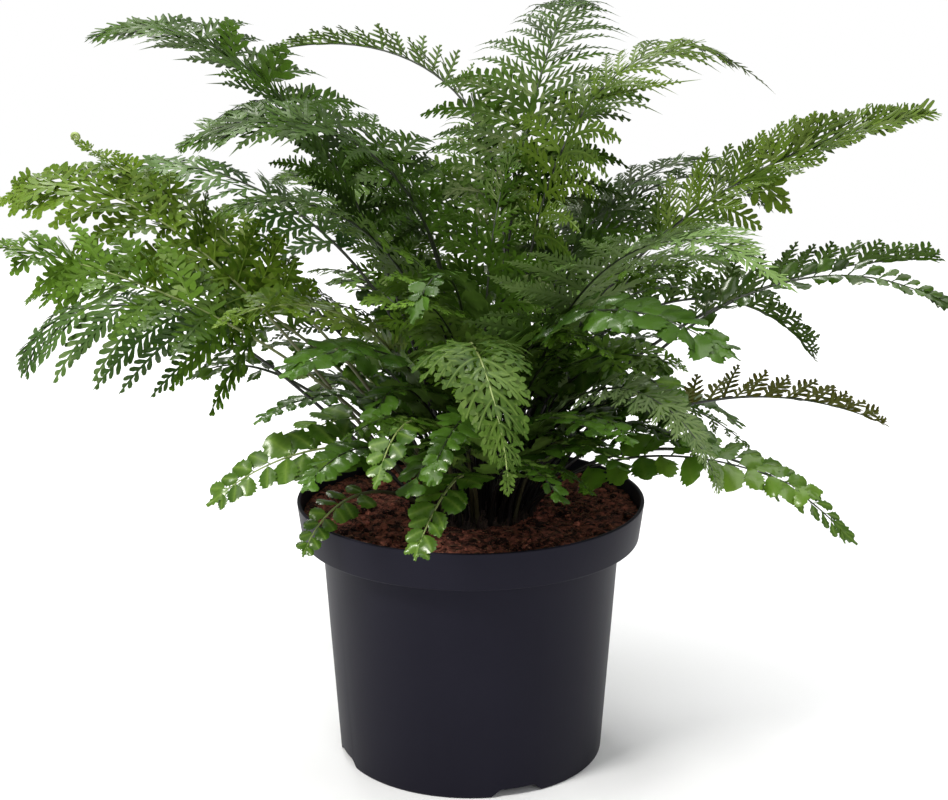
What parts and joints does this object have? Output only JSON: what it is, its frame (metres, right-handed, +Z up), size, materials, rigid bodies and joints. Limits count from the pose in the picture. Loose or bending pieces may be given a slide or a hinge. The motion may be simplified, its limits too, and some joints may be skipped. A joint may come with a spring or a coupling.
{
  "type": "potted fern",
  "caption": "Bushy fern with arching, finely cut and glossy toothed fronds, growing from a matted crown in a round tapered nursery pot filled with peat.",
  "frame": {"origin": "middle of the pot's flat foot, on the surface that it stands on", "axes": "+Z up along the pot's axis; -Y faces the viewer of the picture, and +X is to the viewer's right"},
  "size_m": [0.4524, 0.3645, 0.3603],
  "materials": {
    "pot_plastic": "satin injection-moulded plastic, charcoal with a violet tint",
    "peat": "matt damp peat with short red-brown fibres",
    "crown": "matt brown scales and old leaf bases",
    "cut_leaf": "satin green leaf, paler below, on a dark rib",
    "young_leaf": "soft yellow-green young leaf",
    "glossy_leaf": "glossy deep green leaf with scalloped edges"
  },
  "bodies": {
    "root": {"pot": "pot_plastic", "soil": "peat", "crown": "crown", "frond_crest": "cut_leaf", "frond_crest_right": "cut_leaf", "frond_thin_arch": "cut_leaf", "frond_high_left": "cut_leaf", "frond_left_sweep": "cut_leaf", "frond_blue_left": "cut_leaf", "frond_curl_left": "young_leaf", "frond_lace_upper": "young_leaf", "frond_lace_mid": "young_leaf", "frond_lace_back": "young_leaf", "frond_low_left": "cut_leaf", "frond_scrap_left": "glossy_leaf", "frond_far_right": "cut_leaf", "frond_right_arm": "cut_leaf", "frond_right_fork": "young_leaf", "frond_right_drop": "cut_leaf", "frond_right_low": "cut_leaf", "frond_skirt_right": "glossy_leaf", "frond_trail_right": "glossy_leaf", "frond_olive": "cut_leaf", "frond_bright": "cut_leaf", "frond_gloss_right": "glossy_leaf", "frond_front_drop": "cut_leaf", "frond_gloss_left": "glossy_leaf", "frond_skirt_left": "glossy_leaf", "frond_upper_skirt": "glossy_leaf", "frond_star_front": "glossy_leaf", "frond_rim_left": "glossy_leaf", "frond_rim_front": "glossy_leaf", "frond_mid_left": "cut_leaf", "frond_heart": "cut_leaf", "frond_back_right": "cut_leaf", "frond_shade_right": "cut_leaf", "frond_roof_left": "cut_leaf", "frond_gloss_mid": "glossy_leaf", "frond_gloss_low": "glossy_leaf", "frond_young_mid": "young_leaf", "frond_skirt_front": "glossy_leaf", "frond_back_tall": "cut_leaf", "frond_back_left": "cut_leaf", "frond_back_mid": "cut_leaf", "frond_back_low_left": "cut_leaf", "frond_back_low_right": "cut_leaf", "frond_back_young": "young_leaf", "frond_back_skirt_left": "glossy_leaf", "frond_back_skirt_mid": "glossy_leaf", "frond_back_skirt_right": "glossy_leaf"}
  },
  "joints": []
}
